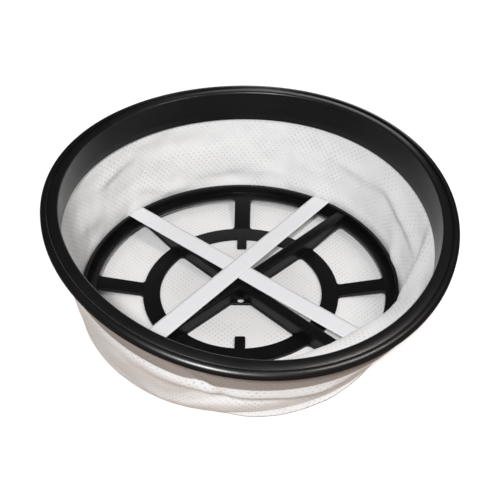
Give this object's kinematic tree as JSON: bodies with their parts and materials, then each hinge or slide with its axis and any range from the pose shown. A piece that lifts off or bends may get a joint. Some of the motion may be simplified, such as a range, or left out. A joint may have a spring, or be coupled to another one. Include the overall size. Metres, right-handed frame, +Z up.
{
  "type": "vacuum filter",
  "caption": "Round cloth filter bag on a black moulded rim ring, with a dished spoked frame held on its base by two crossed white tapes, for a tub vacuum cleaner.",
  "frame": {"origin": "on the table, under the centre of the support frame and of the bag's base", "axes": "+Z up, out of the bag's mouth; +Y to the back, along the two stubs of the frame's inner ring; +X to the right"},
  "size_m": [0.3045, 0.3035, 0.1073],
  "materials": {
    "black_plastic": "satin black moulded polypropylene",
    "filter_cloth": "white embossed non-woven filter cloth",
    "tape": "smooth white woven tape"
  },
  "bodies": {
    "root": {"rim_ring": "black_plastic", "support_frame": "black_plastic", "bag_wall": "filter_cloth", "bag_base": "filter_cloth", "tape_under": "tape", "tape_over": "tape"}
  },
  "joints": []
}
